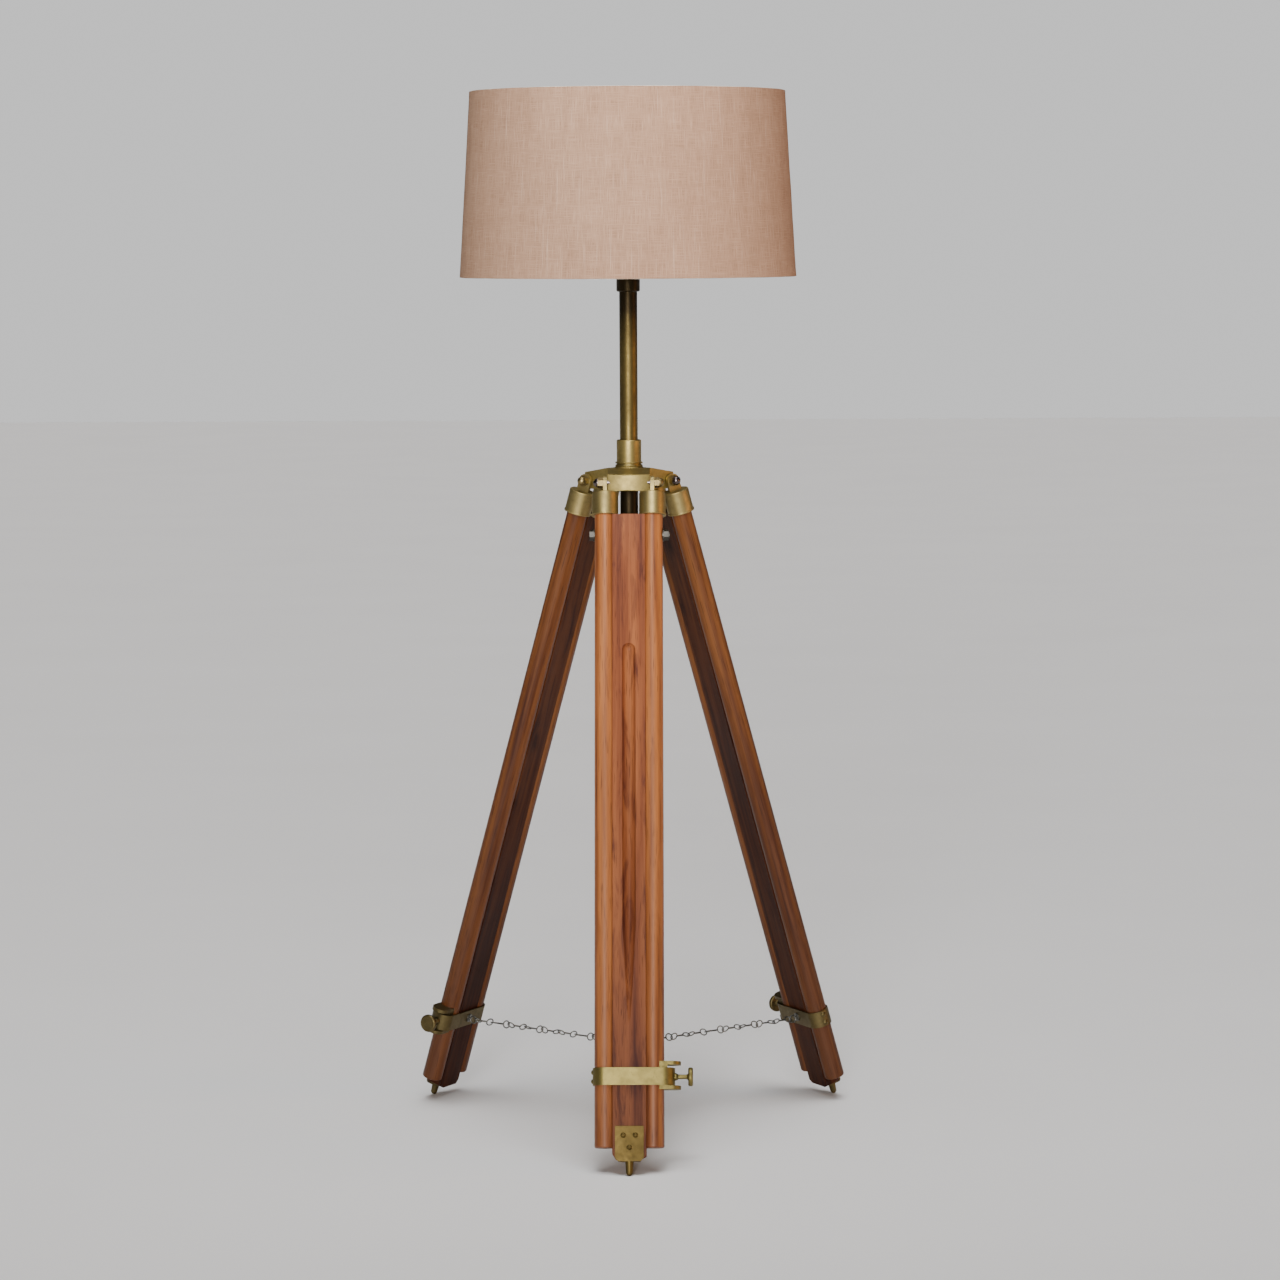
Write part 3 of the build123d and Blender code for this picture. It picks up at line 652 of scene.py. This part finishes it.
def leg_wood(side, number):
    front = side == "front"
    rods = varnished_wood(
        f"{side}_rod_wood", side, [scaled(tone, ROD_PAINTED_SHADE[side]) for tone in ROD_TONES],
        (0.03 + 0.01 * number, 0.06, 0.37 * number), ROD_RINGS,
        lower_shade=0.48 if front else 0.50, gloss=0.8 if front else 0.5, smoke_depth=0.35,
    )
    board = varnished_wood(
        f"{side}_board_wood", side, [scaled(tone, BOARD_PAINTED_SHADE[side]) for tone in BOARD_TONES],
        (0.012 - 0.006 * number, 0.045, 0.29 * number), BOARD_RINGS,
        lower_shade=0.36 if front else 0.55, gloss=0.25 if front else 0.15, smoke_depth=0.9,
    )
    give(rods, f"{side}_leg_rods")
    give(board, f"{side}_inner_board")


def leg_metal(side, ferrule, clamp, foot, zinc):
    give(ferrule, f"{side}_leg_ferrules")
    give(zinc, f"{side}_cross_bolt")
    clamp_parts = ("clamp_band", "clamp_saddle", "thumbscrew", "band_screws")
    give(clamp, *(f"{side}_{part}" for part in clamp_parts))
    give(foot, f"{side}_foot_shoe", f"{side}_foot_screws")


def leg_chain(side, steel):
    give(steel, *(f"{side}_{part}" for part in ("chain_eye", "eye_chain", "ring_chain")))
    for part, turns in CHAIN_TURNS.items():
        slack_chain(f"{side}_{part}", body_of[f"{side}_{part}"], turns)


def brass(name, bright, tarnish, roughness, amount=0.7):
    return aged_metal(name, bright, tarnish, roughness, amount=amount).material


front_camera()
studio_floor()
soft_room_and_backdrop()
for settings in SUNS:
    sun(*settings)
shade_lamp()

antique = brass("antique_brass", (0.320, 0.245, 0.082), (0.115, 0.090, 0.036), 0.42)
foot_brass = brass("foot_brass", (0.116, 0.080, 0.025), (0.052, 0.036, 0.013), 0.50)
ferrule_brass = brass("ferrule_brass", (0.385, 0.300, 0.118), (0.165, 0.128, 0.055), 0.44)
clamp_brass = brass("clamp_brass", (0.225, 0.180, 0.058), (0.095, 0.077, 0.030), 0.45)
# painted shade: a darker copy of the clamp brass for the rear legs' clamps and feet, where less light reaches
rear_painted_shade_brass = brass("rear_painted_shade_brass", (0.130, 0.100, 0.042), (0.050, 0.038, 0.018), 0.45, amount=0.8)
zinc = aged_metal("zinc_plate", (0.085, 0.080, 0.070), (0.045, 0.042, 0.036), 0.46).material
oiled_steel = aged_metal("oiled_steel", (0.16, 0.16, 0.145), (0.045, 0.042, 0.036), 0.40).material

head_and_stem(antique)
lampholder_and_bulb(antique, zinc)
shade()
give(oiled_steel, "chain_ring")
for number, side in enumerate(LEGS):
    leg_wood(side, number)
    if side == "front":
        leg_metal(side, ferrule_brass, clamp_brass, foot_brass, zinc)
    else:
        # the rear legs' clamps and feet take the brass with painted shade
        leg_metal(side, ferrule_brass, rear_painted_shade_brass, rear_painted_shade_brass, zinc)
    leg_chain(side, oiled_steel)
